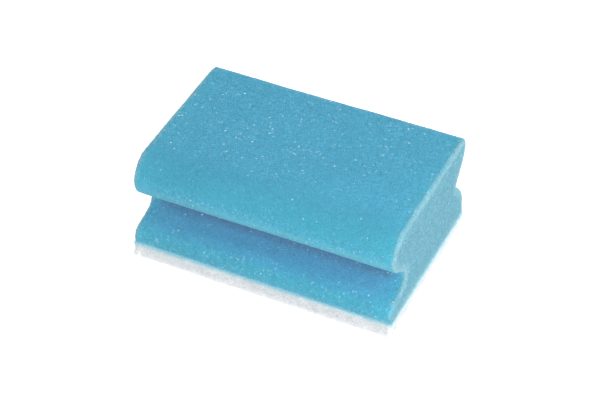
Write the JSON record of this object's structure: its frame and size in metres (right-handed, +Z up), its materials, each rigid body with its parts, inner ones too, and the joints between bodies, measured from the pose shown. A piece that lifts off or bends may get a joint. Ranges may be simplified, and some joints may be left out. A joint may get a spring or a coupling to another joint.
{
  "type": "scouring sponge",
  "caption": "Rectangular foam scouring sponge with a grip groove along both long sides and a flat non-woven scouring pad bonded underneath.",
  "frame": {"origin": "centre of the scouring face, the flat underside of the pad", "axes": "+X along the length and both grip grooves, +Y across the width from the deep finger groove towards the shallow thumb groove, +Z up from the scouring face through the foam"},
  "size_m": [0.106, 0.07, 0.0445],
  "materials": {
    "foam": "soft open-cell polyurethane foam, cyan-blue through its thickness, moulded-smooth cut skin with tiny bright cell facets, paler on the cross-cut ends",
    "adhesive": "thin clear-set laminating adhesive, dull, seen only as a hairline between foam and pad",
    "pad": "white non-woven scouring fleece, matte, tangled fine fibres with light grey mottling"
  },
  "bodies": {
    "root": {"foam_body": "foam", "adhesive_film": "adhesive", "scouring_pad": "pad"}
  },
  "joints": []
}
